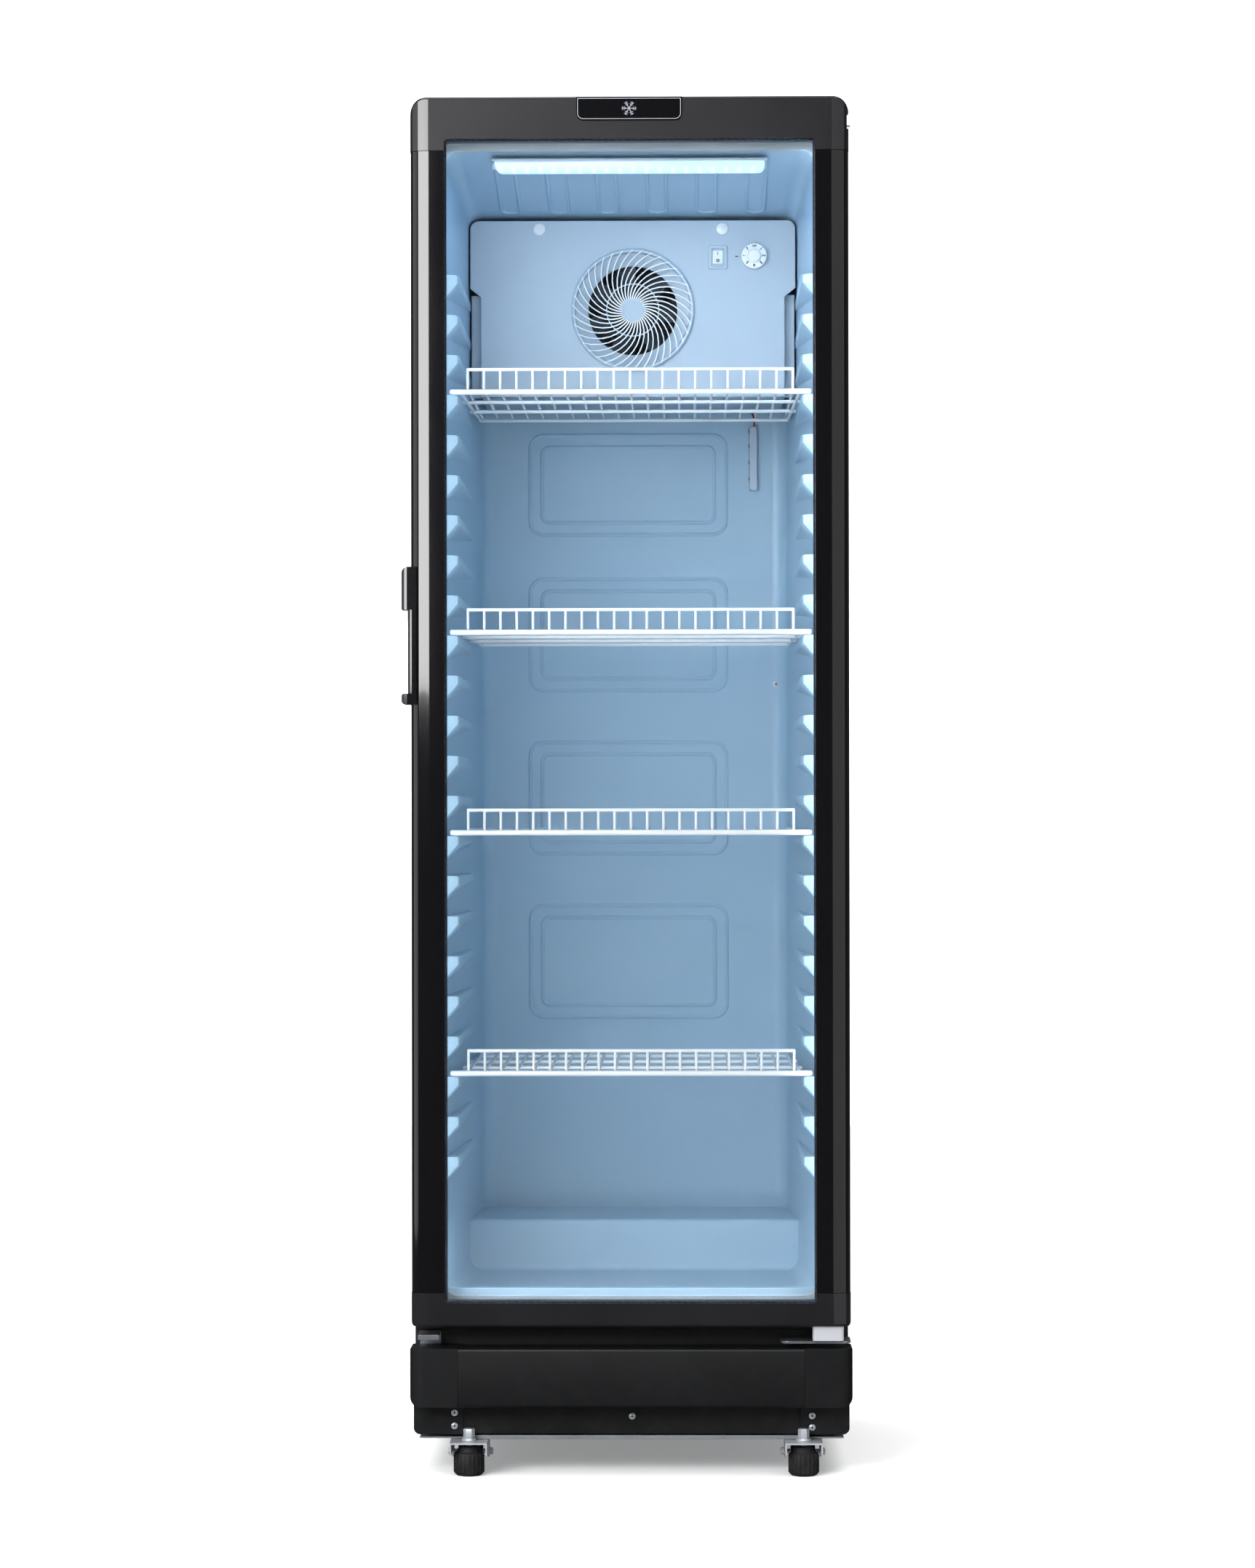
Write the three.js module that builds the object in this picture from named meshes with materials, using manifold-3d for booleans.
// Upright glass door merchandiser: an insulated cabinet with one hinged glass door, four wire
// shelves, a fan-cooled evaporator at the top and a condensing unit in the base.
// Millimetres, +Z up, +X to the right seen from the front. The front faces -Y.
// The origin is on the floor under the middle of the cabinet.
import * as THREE from 'three';
import { mergeVertices } from 'three/addons/utils/BufferGeometryUtils.js';
import Module from 'manifold-3d';

const wasm = await Module();
wasm.setup();

// ---------- driving dimensions ----------
const GAP = 0.3; // clearance between two pieces that touch
const SHEET = 1.2; // steel sheet thickness

// overall
const HALF_DEPTH = 280;
const DOOR_HALF = 270; // half of the door's width
const DOOR_TOP = 1695;
const DOOR_BOTTOM = 185;

// cabinet
const CAB_HALF = 268;
const CAB_TOP = 1690;
const CAB_FRONT = -222;
const CAB_BACK = 278;
const CAB_FLOOR = 174; // underside of the insulated floor
const STEP_Y = 100; // the floor steps up over the machine space behind this line
const STEP_Z = 240;

// liner, which narrows towards the back
const LINER_WALL = 2;
const LINER_FRONT_HALF = 229;
const LINER_BACK_HALF = 205;
const LINER_BACK = 235;
const LINER_FLOOR = 218;
const LINER_TOP_FRONT = 1636;
const LINER_TOP_BACK = 1567;
const HUMP_Y = 60;
const HUMP_Z = 284;

// shelf ledges moulded into the liner's side walls
const LEDGE_COUNT = 23;
const LEDGE_PITCH = 49.8;
const LEDGE_TOP = 1484;
const LEDGE_HALF = 212; // inner edge of the ledges
const LEDGE_FRONT = -219;
const LEDGE_LENGTH = 370;

// wire shelves
const SHELF_LEDGES = [3, 9, 14, 20]; // the ledge each shelf rests on, counted from the top
const SHELF_FRONT = -214;
const SHELF_DEPTH = 380;
const BAR_R = 3.5;
const WIRE_HALF = 1.7;
const WIRE_COUNT = 21;
const WIRE_PITCH = 20.2;
const GUARD_HEIGHT = 28;

// door
const DOOR_FRONT = -280;
const DOOR_BACK = -240;
const STILE_INNER = 227.5; // half of the visible glass width
const CAP_TOP_Z = 1629; // where the top cap meets the stiles
const CAP_BOTTOM_Z = 226;
const GLASS_TOP = 1643.5;
const GLASS_BOTTOM = 213.7;
const REBATE = 12; // how far the glass reaches into the frame
const PANE = 4;
const GASKET_HALF = 250;
const HINGE_X = 252;
const HINGE_Y = -254;

// evaporator cover
const COVER_FRONT = 50;
const COVER_TOP = 1588;
const COVER_BOTTOM = 1358;
const FAN_Z = 1471;
const GUARD_R = 80;

// base
const KICK_HALF = 272;
const KICK_TOP = 158;
const KICK_BOTTOM = 86;
const KICK_CORNER = 59;
const PAN_BOTTOM = 42.3;
const PAN_TOP = 44.3;

// feet and rollers
const FOOT_X = { left: -200, right: 212 };
const FOOT_Y = -254;
const FOOT_R = 19;
const FOOT_HEIGHT = 36;
const BRACKET_HALF = 23;

// ---------- colours and surfaces: colour, roughness, metalness ----------
const SURFACE = {
  gloss_black: [0x0d0d10, 0.18, 0],
  charcoal: [0x26262b, 0.42, 0],
  matt_black: [0x14161b, 0.6, 0.1],
  shell_black: [0x111216, 0.45, 0.3],
  liner_white: [0xdfe9f0, 0.45, 0],
  panel_white: [0xe6edf2, 0.4, 0],
  wire_white: [0xeef3f7, 0.35, 0.1],
  zinc: [0xb9bec4, 0.35, 0.9],
  galvanised: [0x9aa0a6, 0.5, 0.8],
  glass: [0xd9ecf2, 0.03, 0],
  spacer: [0x2c3d5a, 0.4, 0.4],
  gasket: [0x1b1c20, 0.8, 0],
  nylon: [0xe9ebee, 0.4, 0],
  lamp: [0xf4fbff, 0.3, 0],
  fan_grey: [0x7d858e, 0.5, 0],
  rubber_black: [0x0e0f12, 0.75, 0],
  foam: [0xe4d7a8, 0.9, 0],
  aluminium: [0xc3c8cd, 0.4, 0.9],
  compressor_black: [0x17181b, 0.35, 0.5],
  copper: [0xb06b45, 0.35, 0.9],
};

const merchandiser = new THREE.Group();

// Adds one named piece to the merchandiser.
function piece(name, geometry, surface) {
  const [color, roughness, metalness] = SURFACE[surface];
  const material = new THREE.MeshStandardMaterial({ color, roughness, metalness });
  if (surface === 'glass') {
    material.transparent = true;
    material.opacity = 0.25;
  }
  const mesh = new THREE.Mesh(geometry, material);
  mesh.name = name;
  merchandiser.add(mesh);
}

// ---------- solid helpers ----------
function toSolid(geometry) {
  const bare = geometry.clone();
  bare.deleteAttribute('normal');
  bare.deleteAttribute('uv');
  const merged = mergeVertices(bare, 1e-3);
  return new wasm.Manifold(new wasm.Mesh({
    numProp: 3,
    vertProperties: new Float32Array(merged.attributes.position.array),
    triVerts: new Uint32Array(merged.index.array),
  }));
}

function toGeometry(body) {
  const mesh = body.getMesh();
  const geometry = new THREE.BufferGeometry();
  const positions = new THREE.BufferAttribute(new Float32Array(mesh.vertProperties), 3);
  geometry.setAttribute('position', positions);
  geometry.setIndex(new THREE.BufferAttribute(new Uint32Array(mesh.triVerts), 1));
  geometry.computeVertexNormals();
  return geometry;
}

function join(...parts) {
  return toGeometry(wasm.Manifold.union(parts.map(toSolid)));
}

function cut(geometry, ...tools) {
  return toGeometry(wasm.Manifold.difference([geometry, ...tools].map(toSolid)));
}

function common(...parts) {
  return toGeometry(wasm.Manifold.intersection(parts.map(toSolid)));
}

function box(x0, x1, y0, y1, z0, z1) {
  const geometry = new THREE.BoxGeometry(x1 - x0, y1 - y0, z1 - z0);
  return geometry.translate((x0 + x1) / 2, (y0 + y1) / 2, (z0 + z1) / 2);
}

// A round bar between two points.
function bar(from, to, radius, sides = 8) {
  const start = new THREE.Vector3(...from);
  const end = new THREE.Vector3(...to);
  const along = end.clone().sub(start);
  const geometry = new THREE.CylinderGeometry(radius, radius, along.length(), sides);
  const turn = new THREE.Quaternion();
  turn.setFromUnitVectors(new THREE.Vector3(0, 1, 0), along.normalize());
  geometry.applyQuaternion(turn);
  const middle = start.add(end).multiplyScalar(0.5);
  return geometry.translate(middle.x, middle.y, middle.z);
}

// An outline drawn as seen from the front (x, z) and made solid from y0 to y1.
function frontPlate(shape, y0, y1, curveSegments = 5) {
  const depth = y1 - y0;
  const geometry = new THREE.ExtrudeGeometry(shape, { depth, bevelEnabled: false, curveSegments });
  return geometry.rotateX(Math.PI / 2).translate(0, y1, 0);
}

// An outline drawn as seen from above (x, y) and made solid from z0 to z1.
function plan(shape, z0, z1, curveSegments = 5) {
  const depth = z1 - z0;
  const geometry = new THREE.ExtrudeGeometry(shape, { depth, bevelEnabled: false, curveSegments });
  return geometry.translate(0, 0, z0);
}

// An outline drawn as seen from the right (y, z) and made solid from x0 to x1.
function sidePlate(shape, x0, x1) {
  const depth = x1 - x0;
  const geometry = new THREE.ExtrudeGeometry(shape, { depth, bevelEnabled: false });
  const turn = new THREE.Matrix4().set(0, 0, 1, x0, 1, 0, 0, 0, 0, 1, 0, 0, 0, 0, 0, 1);
  return geometry.applyMatrix4(turn);
}

// A rectangle whose corners each have their own radius:
// bottom left, bottom right, top right, top left.
function roundedRect(x0, x1, z0, z1, radii) {
  const [bl, br, tr, tl] = Array.isArray(radii) ? radii : [radii, radii, radii, radii];
  const shape = new THREE.Shape();
  shape.moveTo(x0 + bl, z0);
  shape.lineTo(x1 - br, z0);
  if (br > 0) shape.absarc(x1 - br, z0 + br, br, -Math.PI / 2, 0, false);
  shape.lineTo(x1, z1 - tr);
  if (tr > 0) shape.absarc(x1 - tr, z1 - tr, tr, 0, Math.PI / 2, false);
  shape.lineTo(x0 + tl, z1);
  if (tl > 0) shape.absarc(x0 + tl, z1 - tl, tl, Math.PI / 2, Math.PI, false);
  if (bl > 0) shape.absarc(x0 + bl, z0 + bl, bl, Math.PI, Math.PI * 1.5, false);
  return shape;
}

function ringShape(outer, inner) {
  outer.holes.push(inner);
  return outer;
}

// A solid between two convex outlines of equal point count, one at each end.
function loft(first, last) {
  const count = first.length;
  const positions = [...first, ...last].flat();
  const index = [];
  for (let i = 0; i < count; i += 1) {
    const next = (i + 1) % count;
    index.push(i, count + i, next);
    index.push(next, count + i, count + next);
  }
  for (let i = 1; i < count - 1; i += 1) {
    index.push(0, i, i + 1);
    index.push(count, count + i + 1, count + i);
  }
  const geometry = new THREE.BufferGeometry();
  geometry.setAttribute('position', new THREE.Float32BufferAttribute(positions, 3));
  geometry.setIndex(index);
  return geometry;
}

// The same piece on the other side of the middle plane.
function mirrored(geometry) {
  return toGeometry(toSolid(geometry).mirror([1, 0, 0]));
}

// ---------- liner outline at a given depth ----------
function linerShare(y) {
  return (y - CAB_FRONT) / (LINER_BACK - CAB_FRONT);
}

function linerHalf(y) {
  return THREE.MathUtils.lerp(LINER_FRONT_HALF, LINER_BACK_HALF, linerShare(y));
}

function linerTop(y) {
  return THREE.MathUtils.lerp(LINER_TOP_FRONT, LINER_TOP_BACK, linerShare(y));
}

// The liner's rounded outline at one depth, grown outwards by some amount.
function linerLoop(y, grow) {
  const half = linerHalf(y) + grow;
  const low = LINER_FLOOR - grow;
  const high = linerTop(y) + grow;
  const radius = 14 + grow;
  const shape = roundedRect(-half, half, low, high, radius);
  return shape.getPoints(4).slice(0, -1).map((p) => [p.x, y, p.y]);
}

// A block with the liner's tapered form, from one depth to another.
function linerBlock(y0, y1, grow) {
  return loft(dedupe(linerLoop(y0, grow)), dedupe(linerLoop(y1, grow)));
}

function dedupe(points) {
  return points.filter((p, i) => {
    const q = points[(i + 1) % points.length];
    return Math.hypot(p[0] - q[0], p[1] - q[1], p[2] - q[2]) > 1e-6;
  });
}

// ---------- cabinet ----------
function outerShell() {
  const inner = CAB_HALF - SHEET;
  const side = box(inner, CAB_HALF, CAB_FRONT, CAB_BACK, 50, CAB_TOP);
  const top = box(-CAB_HALF, CAB_HALF, CAB_FRONT, CAB_BACK, CAB_TOP - SHEET, CAB_TOP);
  const floor = box(-CAB_HALF, CAB_HALF, CAB_FRONT, STEP_Y, CAB_FLOOR, CAB_FLOOR + SHEET);
  const riser = box(-CAB_HALF, CAB_HALF, STEP_Y - SHEET, STEP_Y, CAB_FLOOR, STEP_Z);
  const stepTop = box(-CAB_HALF, CAB_HALF, STEP_Y - SHEET, CAB_BACK, STEP_Z, STEP_Z + SHEET);
  const apron = box(-CAB_HALF, CAB_HALF, CAB_FRONT, CAB_FRONT + SHEET, 120, CAB_FLOOR + SHEET);
  return join(side, mirrored(side), top, floor, riser, stepTop, apron);
}

function frontCollar() {
  const outer = roundedRect(-CAB_HALF, CAB_HALF, CAB_FLOOR + 2, CAB_TOP, [4, 4, 12, 12]);
  const inner = roundedRect(-LINER_FRONT_HALF, LINER_FRONT_HALF, LINER_FLOOR, LINER_TOP_FRONT, 14);
  return frontPlate(ringShape(outer, inner), CAB_FRONT - 4, CAB_FRONT - GAP, 4);
}

function foam() {
  const half = CAB_HALF - SHEET - GAP;
  const back = CAB_BACK;
  const low = CAB_FLOOR + SHEET + GAP;
  const stepFront = STEP_Y - SHEET - GAP;
  const front = box(-half, half, CAB_FRONT + SHEET + GAP, stepFront, low, CAB_TOP - SHEET - GAP);
  const stepLow = STEP_Z + SHEET + GAP;
  const rear = box(-half, half, stepFront - 1, back, stepLow, CAB_TOP - SHEET - GAP);
  const cavity = linerBlock(CAB_FRONT - 5, LINER_BACK + LINER_WALL + GAP, LINER_WALL + GAP);
  const humpHigh = HUMP_Z - LINER_WALL - GAP;
  const hump = box(-260, 260, HUMP_Y + LINER_WALL + GAP, LINER_BACK + 3, 200, humpHigh);
  const hollow = cut(cavity, hump);
  return cut(join(front, rear), hollow);
}

// One moulded ledge for the left side wall: flat on top, undercut below.
function ledge(top) {
  const shape = new THREE.Shape();
  shape.moveTo(-LINER_FRONT_HALF - 4, top);
  shape.lineTo(-LINER_FRONT_HALF - 4, top - 29);
  shape.lineTo(-LEDGE_HALF, top - 12);
  shape.lineTo(-LEDGE_HALF, top);
  return frontPlate(shape, LEDGE_FRONT, LEDGE_FRONT + LEDGE_LENGTH);
}

function ledgeTop(i) {
  return LEDGE_TOP - LEDGE_PITCH * i;
}

// A shallow loop pressed into the back wall, standing a little forward.
function pressedLoop(z0, z1) {
  const outer = roundedRect(-120, 122, z0, z1, 16);
  const inner = roundedRect(-114, 116, z0 + 6, z1 - 6, 11);
  return frontPlate(ringShape(outer, inner), LINER_BACK - 2, LINER_BACK + 1, 3);
}

function liner() {
  const outer = linerBlock(CAB_FRONT, LINER_BACK + LINER_WALL, LINER_WALL);
  const room = linerBlock(CAB_FRONT - 5, LINER_BACK, 0);
  const hump = box(-260, 260, HUMP_Y, LINER_BACK + 5, 200, HUMP_Z);
  const underHump = box(-260, 260, HUMP_Y + LINER_WALL, LINER_BACK + 5, 200, HUMP_Z - LINER_WALL);
  const shell = cut(cut(outer, cut(room, hump)), underHump);
  const ledges = [];
  for (let i = 0; i < LEDGE_COUNT; i += 1) {
    const left = ledge(ledgeTop(i));
    ledges.push(left, mirrored(left));
  }
  const ribs = common(join(...ledges), outer);
  const rim = common(box(-240, 240, CAB_FRONT, CAB_FRONT + 12, 200, LINER_FLOOR + 9), outer);
  const loops = [pressedLoop(980, 1065), pressedLoop(1190, 1275), pressedLoop(760, 845)];
  return join(shell, ribs, rim, ...loops);
}

function backPanel() {
  return box(-CAB_HALF, CAB_HALF, CAB_BACK + GAP, HALF_DEPTH, STEP_Z + 6, CAB_TOP);
}

// The slotted cover over the machine space at the back.
function machineCover() {
  const slots = [];
  for (let column = 0; column < 3; column += 1) {
    for (let row = 0; row < 7; row += 1) {
      const x = -202 + column * 139;
      const z = 84 + row * 20;
      slots.push(box(x, x + 126, CAB_BACK - 5, HALF_DEPTH + 5, z, z + 8));
    }
  }
  slots.push(box(-226, -169, CAB_BACK - 5, HALF_DEPTH + 5, 59, 77));
  return cut(box(-CAB_HALF, CAB_HALF, CAB_BACK + GAP, HALF_DEPTH, 50, STEP_Z + 5.5), ...slots);
}

piece('outer_shell', outerShell(), 'shell_black');
piece('front_collar', frontCollar(), 'panel_white');
piece('insulation_foam', foam(), 'foam');
piece('inner_liner', liner(), 'liner_white');
piece('back_panel', backPanel(), 'galvanised');
piece('machine_cover', machineCover(), 'galvanised');

// ---------- wire shelves ----------
function wireShelf(top) {
  const z = top + GAP + BAR_R;
  const back = SHELF_FRONT + SHELF_DEPTH;
  const guardHalf = WIRE_PITCH * ((WIRE_COUNT - 1) / 2);
  const parts = [];
  const wireBottom = z + 1.7;
  const wireTop = wireBottom + 2 * WIRE_HALF;
  // four cross bars carry the wires; the front one is the longest
  parts.push(bar([-225, SHELF_FRONT, z], [225, SHELF_FRONT, z], BAR_R, 8));
  for (const y of [SHELF_FRONT + 127, SHELF_FRONT + 254, back]) {
    const half = Math.min(linerHalf(y) - 2.5, 216);
    const high = y === back ? wireBottom + 0.8 : wireBottom - 0.2;
    parts.push(box(-half, half, y - 2.3, y + 2.3, z - 2.9, high));
  }
  // front-to-back wires, each turned up at the front as a post of the guard
  const postTop = z + GUARD_HEIGHT;
  const front = SHELF_FRONT - 1;
  for (let i = 0; i < WIRE_COUNT; i += 1) {
    const x = -guardHalf + WIRE_PITCH * i;
    const bend = new THREE.Shape();
    bend.moveTo(front, wireBottom);
    bend.lineTo(back + 1, wireBottom);
    bend.lineTo(back + 1, wireTop);
    bend.lineTo(front + 2 * WIRE_HALF, wireTop);
    bend.lineTo(front + 2 * WIRE_HALF, postTop);
    bend.lineTo(front, postTop);
    parts.push(sidePlate(bend, x - WIRE_HALF, x + WIRE_HALF));
  }
  // the guard's top rail, and one slanted bar down each side
  const railY = SHELF_FRONT + 0.7;
  const railEnd = guardHalf + WIRE_HALF;
  parts.push(box(-railEnd, railEnd, railY - 2.2, railY + 2.2, postTop - 2.2, postTop + 2.2));
  for (const side of [-1, 1]) {
    const backX = side * (linerHalf(back) - 3.5);
    parts.push(bar([side * 211, SHELF_FRONT, z], [backX, back, z], 2.4, 6));
  }
  return join(...parts);
}

SHELF_LEDGES.forEach((index, i) => {
  piece(`shelf_${i + 1}`, wireShelf(ledgeTop(index)), 'wire_white');
});

// ---------- evaporator housing, fan and controls ----------
function evaporatorCover() {
  const shape = new THREE.Shape();
  const r = 11;
  shape.moveTo(-198, COVER_BOTTOM);
  shape.lineTo(198, COVER_BOTTOM);
  shape.lineTo(198, 1488);
  shape.lineTo(212, 1500);
  shape.lineTo(212, COVER_TOP - r);
  shape.absarc(212 - r, COVER_TOP - r, r, 0, Math.PI / 2, false);
  shape.lineTo(-212 + r, COVER_TOP);
  shape.absarc(-212 + r, COVER_TOP - r, r, Math.PI / 2, Math.PI, false);
  shape.lineTo(-212, 1500);
  shape.lineTo(-198, 1488);
  const mouth = new THREE.Path();
  mouth.absarc(0, FAN_Z, GUARD_R - 4, 0, Math.PI * 2, false);
  shape.holes.push(mouth);
  shape.holes.push(roundedRect(100.5, 121.5, 1526, 1553, 1));
  const dialHole = new THREE.Path();
  dialHole.absarc(158.5, 1541, 5, 0, Math.PI * 2, false);
  shape.holes.push(dialHole);
  const face = frontPlate(shape, COVER_FRONT, COVER_FRONT + 2.5, 8);
  const tray = box(-198, 198, COVER_FRONT, 228, COVER_BOTTOM, COVER_BOTTOM + 2.5);
  const sideWall = box(195.5, 198, COVER_FRONT, 228, COVER_BOTTOM, 1488);
  return join(face, tray, sideWall, mirrored(sideWall));
}

// The spiral guard in front of the fan.
function fanGuard() {
  const outer = new THREE.Shape().absarc(0, FAN_Z, GUARD_R, 0, Math.PI * 2, false);
  outer.holes.push(new THREE.Path().absarc(0, FAN_Z, GUARD_R - 4, 0, Math.PI * 2, false));
  const parts = [frontPlate(outer, COVER_FRONT - 5, COVER_FRONT - GAP, 16)];
  const hub = new THREE.CylinderGeometry(13, 13, 2, 16);
  parts.push(hub.translate(0, COVER_FRONT - 3, FAN_Z));
  const vanes = 24;
  for (let i = 0; i < vanes; i += 1) {
    const angle = (i / vanes) * Math.PI * 2;
    const shape = new THREE.Shape();
    const at = (radius, turn) => [radius * Math.cos(angle + turn), FAN_Z + radius * Math.sin(angle + turn)];
    shape.moveTo(...at(11, 0));
    shape.lineTo(...at(36, 0.1));
    shape.lineTo(...at(59, 0.32));
    shape.lineTo(...at(GUARD_R - 3, 0.62));
    shape.lineTo(...at(GUARD_R - 3, 0.59));
    shape.lineTo(...at(59, 0.285));
    shape.lineTo(...at(36, 0.045));
    shape.lineTo(...at(11, -0.12));
    parts.push(frontPlate(shape, COVER_FRONT - 4, COVER_FRONT - 2));
  }
  return join(...parts);
}

// A fan wheel with tilted blades, turning about the Y axis.
function fanWheel(x, z, y0, y1, radius, hubRadius, blades, bore) {
  const middle = (y0 + y1) / 2;
  const hub = new THREE.CylinderGeometry(hubRadius, hubRadius, y1 - y0, 16);
  const parts = [hub.translate(x, middle, z)];
  for (let i = 0; i < blades; i += 1) {
    const blade = new THREE.BoxGeometry(radius - hubRadius + 3, 1.6, radius * 0.62);
    blade.rotateX(0.42);
    blade.translate((radius + hubRadius - 3) / 2, 0, 0);
    blade.rotateY((i / blades) * Math.PI * 2);
    parts.push(blade.translate(x, middle, z));
  }
  const shaft = new THREE.CylinderGeometry(bore, bore, y1 - y0 + 4, 12).translate(x, middle + 4, z);
  return cut(join(...parts), shaft);
}

// A small round motor with its shaft pointing forward.
function fanMotor(x, z, shaftFront, y0, y1, armZ) {
  const can = new THREE.CylinderGeometry(24, 24, y1 - y0, 16).translate(x, (y0 + y1) / 2, z);
  const shaft = bar([x, shaftFront, z], [x, y0 + 1, z], 2.5, 8);
  const arm = box(x - 7, x + 7, y1 - 6, y1 - 2, armZ, z);
  return join(can, shaft, arm);
}

// A block of thin fins on a few tubes that run across it.
function finnedCoil(x0, x1, y0, y1, z0, z1, fins, rows) {
  const parts = [];
  for (let i = 0; i < fins; i += 1) {
    const x = THREE.MathUtils.lerp(x0, x1 - 1, i / (fins - 1));
    parts.push(box(x, x + 1, y0, y1, z0, z1));
  }
  for (const z of rows) {
    const y = (y0 + y1) / 2;
    parts.push(bar([x0 - 6, y, z], [x1 + 6, y, z], 4.5, 6));
  }
  return join(...parts);
}

piece('evaporator_cover', evaporatorCover(), 'panel_white');
piece('fan_guard', fanGuard(), 'panel_white');
piece('evaporator_fan', fanWheel(0, FAN_Z, 60, 76, 66, 17, 7, 2.8), 'fan_grey');
piece('evaporator_fan_motor', fanMotor(0, FAN_Z, 65, 82, 112, COVER_BOTTOM + 3), 'matt_black');
piece('evaporator_coil', finnedCoil(-180, 180, 128, 218, 1392, 1550, 13, [1430, 1510]), 'aluminium');

function thermostatDial() {
  const disc = new THREE.CylinderGeometry(16.5, 17, 7, 24).translate(158.5, COVER_FRONT - 4.3, 1541);
  const grip = box(156.2, 160.8, COVER_FRONT - 13, COVER_FRONT - 6, 1527, 1555);
  const stem = bar([158.5, COVER_FRONT - 3, 1541], [158.5, COVER_FRONT + 12, 1541], 4, 10);
  return join(disc, grip, stem);
}

piece('thermostat_dial', thermostatDial(), 'panel_white');
function switchBezel() {
  const outer = roundedRect(98.5, 123.5, 1524, 1555, 2.5);
  const inner = roundedRect(103.5, 118.5, 1527.8, 1551.2, 1);
  const flange = frontPlate(ringShape(outer, inner), COVER_FRONT - 2.3, COVER_FRONT - GAP, 2);
  const neckOuter = roundedRect(101, 121, 1526.5, 1552.5, 1);
  const neckInner = roundedRect(103.5, 118.5, 1527.8, 1551.2, 1);
  const neck = frontPlate(ringShape(neckOuter, neckInner), COVER_FRONT - 1, COVER_FRONT + 14, 2);
  return join(flange, neck);
}

// The rocker's front is a shallow V, so one half always stands out.
function switchRocker() {
  const shape = new THREE.Shape();
  shape.moveTo(COVER_FRONT + 9, 1532);
  shape.lineTo(COVER_FRONT + 9, 1547);
  shape.lineTo(COVER_FRONT - 2.4, 1548.6);
  shape.lineTo(COVER_FRONT - 1.6, 1539.5);
  shape.lineTo(COVER_FRONT - 4.4, 1530.6);
  return sidePlate(shape, 104, 118);
}

piece('switch_bezel', switchBezel(), 'panel_white');
piece('switch_rocker', switchRocker(), 'panel_white');

const lampZ = 1613;
piece('light_housing', cut(
  frontPlate(roundedRect(-172, 171, lampZ + 6, 1629.6, 2), -214, -184, 3),
  box(-169, 168, -211, -187, lampZ, lampZ + 13),
), 'panel_white');
piece('light_lens', frontPlate(roundedRect(-168.6, 167.6, lampZ, lampZ + 12.6, [8, 8, 1, 1]), -210.6, -187.4), 'lamp');
piece('sensor_cover', frontPlate(roundedRect(154, 165.5, 1248, 1335, 3), 226, LINER_BACK - GAP), 'panel_white');

// ---------- door ----------
// The door's outline from above: its outer ends curve back.
function doorPlan(inset = 0) {
  const half = DOOR_HALF - inset;
  const front = DOOR_FRONT + inset;
  const shape = new THREE.Shape();
  shape.moveTo(-half, DOOR_BACK);
  shape.lineTo(-half, front + 18);
  shape.quadraticCurveTo(-half + 1, front, -half + 24, front);
  shape.lineTo(half - 24, front);
  shape.quadraticCurveTo(half - 1, front, half, front + 18);
  shape.lineTo(half, DOOR_BACK);
  return shape;
}

const paneHalf = STILE_INNER + REBATE;
const unitFront = -276.5;
const unitBack = -252;
// the space that the sealed glass unit fills
const glassSpace = box(
  -paneHalf - GAP, paneHalf + GAP,
  unitFront - GAP, unitBack + GAP,
  GLASS_BOTTOM - REBATE - GAP, GLASS_TOP + REBATE + GAP,
);
const sightHole = frontPlate(
  roundedRect(-STILE_INNER, STILE_INNER, GLASS_BOTTOM, GLASS_TOP, 5), -300, -200, 3,
);

function doorTopCap() {
  const front = frontPlate(
    roundedRect(-DOOR_HALF, DOOR_HALF, CAP_TOP_Z + GAP, DOOR_TOP, [0, 0, 20, 20]), -290, DOOR_BACK, 6,
  );
  const body = common(front, plan(doorPlan(), 1600, 1700, 6));
  const hingePocket = box(238, 275, -271, -239, 1656, 1677);
  const pinHole = bar([HINGE_X, HINGE_Y, 1636], [HINGE_X, HINGE_Y, 1670], 4.6, 16);
  return cut(body, glassSpace, sightHole, hingePocket, pinHole);
}

function doorBottomCap() {
  const front = frontPlate(
    roundedRect(-DOOR_HALF, DOOR_HALF, DOOR_BOTTOM, CAP_BOTTOM_Z - GAP, [5, 5, 0, 0]), -290, DOOR_BACK, 3,
  );
  const body = common(front, plan(doorPlan(), 150, 250, 6));
  const pinHole = bar([HINGE_X, HINGE_Y, 180], [HINGE_X, HINGE_Y, 199], 4.6, 16);
  return cut(body, glassSpace, sightHole, pinHole);
}

function doorStile(side) {
  const body = plan(doorPlan(0.4), CAP_BOTTOM_Z, CAP_TOP_Z, 6);
  const keep = side < 0 ? box(-300, -200, -300, -200, 100, 1800) : box(200, 300, -300, -200, 100, 1800);
  return cut(common(body, keep), glassSpace, sightHole);
}

function pane(y) {
  return frontPlate(
    roundedRect(-paneHalf, paneHalf, GLASS_BOTTOM - REBATE, GLASS_TOP + REBATE, 4), y, y + PANE, 2,
  );
}

function frameRing(halfOut, halfIn, low, high, width, y0, y1, radius) {
  const outer = roundedRect(-halfOut, halfOut, low, high, radius);
  const inner = roundedRect(-halfIn, halfIn, low + width, high - width, Math.max(radius - 4, 1));
  return frontPlate(ringShape(outer, inner), y0, y1, 3);
}

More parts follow.
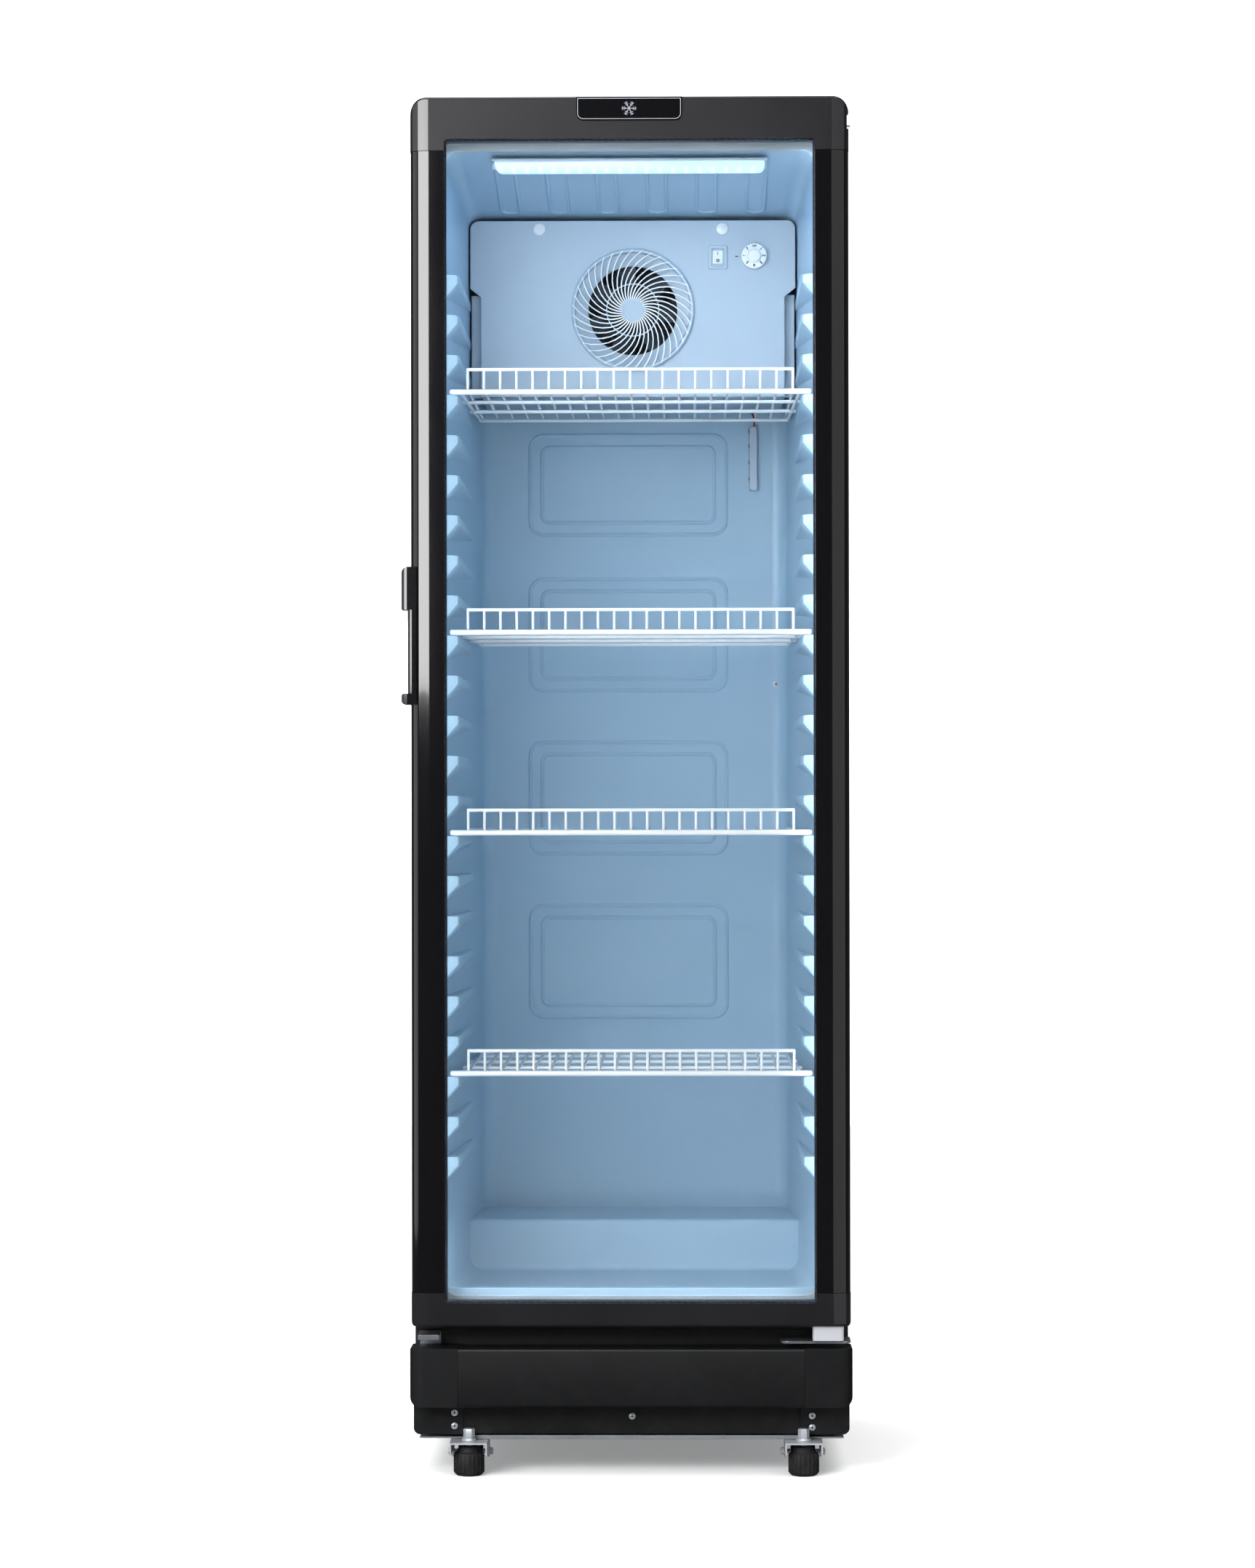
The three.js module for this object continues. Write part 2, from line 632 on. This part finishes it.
piece('door_top_cap', doorTopCap(), 'charcoal');
piece('door_bottom_cap', doorBottomCap(), 'charcoal');
piece('door_stile_left', doorStile(-1), 'gloss_black');
piece('door_stile_right', doorStile(1), 'gloss_black');
piece('outer_glass', pane(unitFront), 'glass');
piece('inner_glass', pane(unitBack - PANE), 'glass');
piece('glass_spacer', frameRing(
  paneHalf - 4, STILE_INNER - 2, GLASS_BOTTOM - REBATE + 4, GLASS_TOP + REBATE - 4, 12,
  unitFront + PANE + GAP, unitBack - PANE - GAP, 4,
), 'spacer');
piece('door_gasket', frameRing(
  GASKET_HALF, GASKET_HALF - 12, 201, 1664, 12, DOOR_BACK + GAP, CAB_FRONT - 4 - GAP, 8,
), 'gasket');
piece('badge_plate', frontPlate(
  roundedRect(-65.5, 65.5, 1665, 1694.6, [9, 9, 1, 1]), DOOR_FRONT - 1.5, DOOR_FRONT - GAP, 4,
), 'gloss_black');

// The pull wraps round the door's left edge: two blocks joined by a slim upright.
function handle() {
  const upright = plan(roundedRect(-273, -262, -278, -250, [5, 0, 0, 1]), 949, 1117, 4);
  const head = frontPlate(roundedRect(-281, -262, 1065, 1118, [1, 0, 0, 8]), -278, -250, 4);
  const foot = frontPlate(roundedRect(-281, -262, 948.5, 962, [5, 0, 0, 3]), -278, -250, 3);
  const softFront = plan(roundedRect(-281, -250, -278, -240, [7, 0, 0, 2]), 940, 1125, 5);
  return cut(common(join(upright, head, foot), softFront), plan(doorPlan(-GAP), 900, 1200, 6));
}

piece('door_handle', handle(), 'gloss_black');

// A key lock behind the handle's upper block. Its tongue hangs down when it is open.
function lock() {
  const face = -DOOR_HALF - GAP;
  const barrel = bar([-277, -244.5, 1076], [face - 0.2, -244.5, 1076], 4.5, 16);
  const tongue = box(-275, face - 0.2, -248, -241, 1051, 1076);
  return join(barrel, tongue);
}

piece('door_lock', lock(), 'zinc');

// ---------- hinges and the stop under the door ----------
function topHinge() {
  const arm = plan(roundedRect(HINGE_X - 8, 273, HINGE_Y - 8, -226.4, [8, 8, 1, 1]), 1664, 1667, 4);
  const narrow = cut(arm, box(HINGE_X + 8, 280, -262, -230, 1660, 1670));
  const flange = box(253, 267.5, -228.5, -226.4, 1640, 1667);
  const pin = bar([HINGE_X, HINGE_Y, 1640], [HINGE_X, HINGE_Y, 1665], 4, 16);
  return join(narrow, flange, pin);
}

function bottomHinge() {
  const outline = roundedRect(184, 270, -268, -222.4, [10, 12, 0, 0]);
  const arm = plan(outline, 163, 166, 4);
  const flange = box(188, 266, -224.4, -222.4, 122, 166);
  const pin = bar([HINGE_X, HINGE_Y, 165], [HINGE_X, HINGE_Y, 195], 4, 16);
  return join(arm, flange, pin);
}

piece('top_hinge', topHinge(), 'zinc');
piece('bottom_hinge', bottomHinge(), 'zinc');
piece('hinge_cam_block', cut(
  plan(roundedRect(223, 261, -274, -240, 4), 167, DOOR_BOTTOM - GAP, 3),
  bar([HINGE_X, HINGE_Y, 160], [HINGE_X, HINGE_Y, 190], 4.6, 16),
), 'nylon');
piece('door_stop_plate', join(
  box(-262, -236, -272, -222.4, 172, 174),
  box(-262, -236, -272, -270, 168, 174),
  box(-262, -236, -224.4, -222.4, 140, 174),
), 'zinc');

// ---------- base ----------
function kickCorner() {
  const wall = 2.5;
  const x0 = -KICK_HALF;
  const x1 = -KICK_HALF + KICK_CORNER;
  const outer = frontPlate(roundedRect(x0, x1, KICK_BOTTOM, KICK_TOP, [13, 0, 0, 2]), -280, -225, 4);
  const inner = frontPlate(
    roundedRect(x0 + wall, x1 - wall, KICK_BOTTOM + wall, KICK_TOP - wall, [10.5, 0, 0, 0]),
    -277.5, -200, 4,
  );
  return cut(outer, inner);
}

function kickCentre() {
  const x1 = KICK_HALF - KICK_CORNER - GAP;
  const face = box(-x1, x1, -279.6, -277.4, KICK_BOTTOM, KICK_TOP - 0.4);
  const top = box(-x1, x1, -279.6, -232, KICK_TOP - 2.4, KICK_TOP - 0.4);
  const under = box(-x1, x1, -279.6, -244, KICK_BOTTOM, KICK_BOTTOM + 2);
  return join(face, top, under);
}

function lowerSkirt() {
  const high = KICK_BOTTOM - GAP;
  const corner = frontPlate(roundedRect(-269, -208, 47.8, high, [8, 0, 0, 0]), -241.5, -236.5, 4);
  const centre = box(-212.4, 212.4, -238.5, -236.5, 47.8, 118);
  return join(corner, mirrored(corner), centre);
}

piece('kick_panel_centre', kickCentre(), 'matt_black');
piece('kick_panel_left', kickCorner(), 'matt_black');
piece('kick_panel_right', mirrored(kickCorner()), 'matt_black');
piece('lower_skirt', lowerSkirt(), 'matt_black');
piece('base_pan', join(
  box(-262, 262, -236, 277, PAN_BOTTOM, PAN_TOP),
  box(-208, 208, -243.6, -235, PAN_BOTTOM, PAN_TOP),
  box(-208, 208, -243.6, -242.2, PAN_BOTTOM, PAN_BOTTOM + 5),
), 'galvanised');

function compressor() {
  const profile = [[0, 62], [58, 62], [70, 78], [73, 110], [72, 150], [62, 182], [34, 200], [0, 204]];
  const can = new THREE.LatheGeometry(profile.map(([r, z]) => new THREE.Vector2(r, z)), 20);
  can.rotateX(Math.PI / 2).translate(120, 180, 0);
  const feet = box(48, 192, 130, 230, PAN_TOP + 10, PAN_TOP + 20);
  const grommets = [];
  for (const x of [58, 182]) {
    for (const y of [140, 220]) {
      grommets.push(bar([x, y, PAN_TOP + GAP], [x, y, PAN_TOP + 12], 8, 8));
    }
  }
  return join(can, feet, ...grommets);
}

piece('compressor', compressor(), 'compressor_black');
piece('terminal_box', box(196, 228, 160, 205, 100, 150), 'matt_black');
piece('condenser_coil', finnedCoil(-240, -40, -205, -130, 54, 160, 11, [80, 134]), 'copper');
piece('condenser_fan', fanWheel(-140, 107, -80, -66, 44, 13, 5, 2.8), 'matt_black');

function condenserShroud() {
  const outer = roundedRect(-244, -36, PAN_TOP + GAP, 164, 3);
  const inner = roundedRect(-192, -88, 57, 157, 50);
  const plate = frontPlate(ringShape(outer, inner), -96, -94, 4);
  const can = new THREE.CylinderGeometry(20, 20, 34, 14).translate(-140, -38, 107);
  const shaft = bar([-140, -75, 107], [-140, -50, 107], 2.5, 8);
  const post = box(-146, -134, -30, -24, PAN_TOP + GAP, 100);
  const foot = box(-146, -134, -95, -24, PAN_TOP + GAP, PAN_TOP + 4);
  return join(plate, can, shaft, post, foot);
}

piece('condenser_fan_shroud', condenserShroud(), 'galvanised');
piece('drip_tray', cut(
  frontPlate(roundedRect(30, 210, 212, 236, [4, 4, 0, 0]), 110, 262, 3),
  box(33, 207, 113, 259, 214.5, 250),
), 'fan_grey');
piece('power_inlet_box', cut(
  box(-225, -170, 225, 279.6, 60, 76),
  box(-215, -180, 252, 290, 64.5, 71.5),
), 'matt_black');

// ---------- feet, brackets and rollers ----------
// A bracket of folded steel: a flat top and two cheeks that carry an axle.
function rollerBracket(x, y0, y1, cheekFrontZ, axleY, axleZ) {
  const top = PAN_BOTTOM - GAP;
  const plate = box(x - BRACKET_HALF, x + BRACKET_HALF, y0, y1, top - 2, top);
  const cheek = new THREE.Shape();
  cheek.moveTo(y0, top);
  cheek.lineTo(y0, cheekFrontZ);
  cheek.lineTo(axleY - 12, cheekFrontZ);
  cheek.lineTo(axleY - 8, axleZ - 6);
  cheek.lineTo(axleY + 8, axleZ - 6);
  cheek.lineTo(y1, cheekFrontZ);
  cheek.lineTo(y1, top);
  const parts = [plate];
  for (const x0 of [x - BRACKET_HALF, x + BRACKET_HALF - 2]) {
    parts.push(sidePlate(cheek, x0, x0 + 2));
  }
  parts.push(bar([x - BRACKET_HALF - 5, axleY, axleZ], [x + BRACKET_HALF + 5, axleY, axleZ], 3, 10));
  return join(...parts);
}

function roller(x, y, z, radius) {
  const wheel = bar([x - 15, y, z], [x + 15, y, z], radius, 20);
  return cut(wheel, bar([x - 20, y, z], [x + 20, y, z], 3.4, 12));
}

// The ribbed foot and the threaded stud that it turns on.
function foot(x) {
  const ribs = 20;
  const shape = new THREE.Shape();
  for (let i = 0; i < ribs; i += 1) {
    const a = (i / ribs) * Math.PI * 2;
    const b = ((i + 0.55) / ribs) * Math.PI * 2;
    const move = i === 0 ? 'moveTo' : 'lineTo';
    shape[move](x + FOOT_R * Math.cos(a), FOOT_Y + FOOT_R * Math.sin(a));
    shape.lineTo(x + FOOT_R * Math.cos(b), FOOT_Y + FOOT_R * Math.sin(b));
    const c = ((i + 0.7) / ribs) * Math.PI * 2;
    shape.lineTo(x + (FOOT_R - 1) * Math.cos(c), FOOT_Y + (FOOT_R - 1) * Math.sin(c));
  }
  const grip = plan(shape, 3, 28);
  const base = new THREE.CylinderGeometry(16.5, 16.5, 4, 20).rotateX(Math.PI / 2);
  const neck = new THREE.CylinderGeometry(13, 16, FOOT_HEIGHT - 27, 20).rotateX(Math.PI / 2);
  return join(
    grip,
    base.translate(x, FOOT_Y, 2),
    neck.translate(x, FOOT_Y, 27 + (FOOT_HEIGHT - 27) / 2),
  );
}

function stud(x) {
  const shank = bar([x, FOOT_Y, FOOT_HEIGHT + GAP], [x, FOOT_Y, 52], 4.5, 12);
  const flange = new THREE.CylinderGeometry(8, 9.5, 3, 16).rotateX(Math.PI / 2);
  const hex = new THREE.CylinderGeometry(7, 7, 12, 6).rotateX(Math.PI / 2);
  return join(shank, flange.translate(x, FOOT_Y, 43.9), hex.translate(x, FOOT_Y, 51));
}

for (const side of ['left', 'right']) {
  const x = FOOT_X[side];
  const holed = cut(
    rollerBracket(x, FOOT_Y - 23, -190, 27, -212, 23),
    bar([x, FOOT_Y, 30], [x, FOOT_Y, 50], 5.4, 16),
  );
  piece(`front_bracket_${side}`, holed, 'zinc');
  piece(`front_roller_${side}`, roller(x, -212, 23, 15), 'rubber_black');
  piece(`levelling_foot_${side}`, foot(x), 'rubber_black');
  piece(`foot_stud_${side}`, stud(x), 'zinc');
  const rearX = side === 'left' ? -205 : 205;
  piece(`rear_bracket_${side}`, rollerBracket(rearX, 205, 262, 26, 235, 19), 'zinc');
  piece(`rear_roller_${side}`, roller(rearX, 235, 19, 19), 'rubber_black');
}

export default merchandiser;
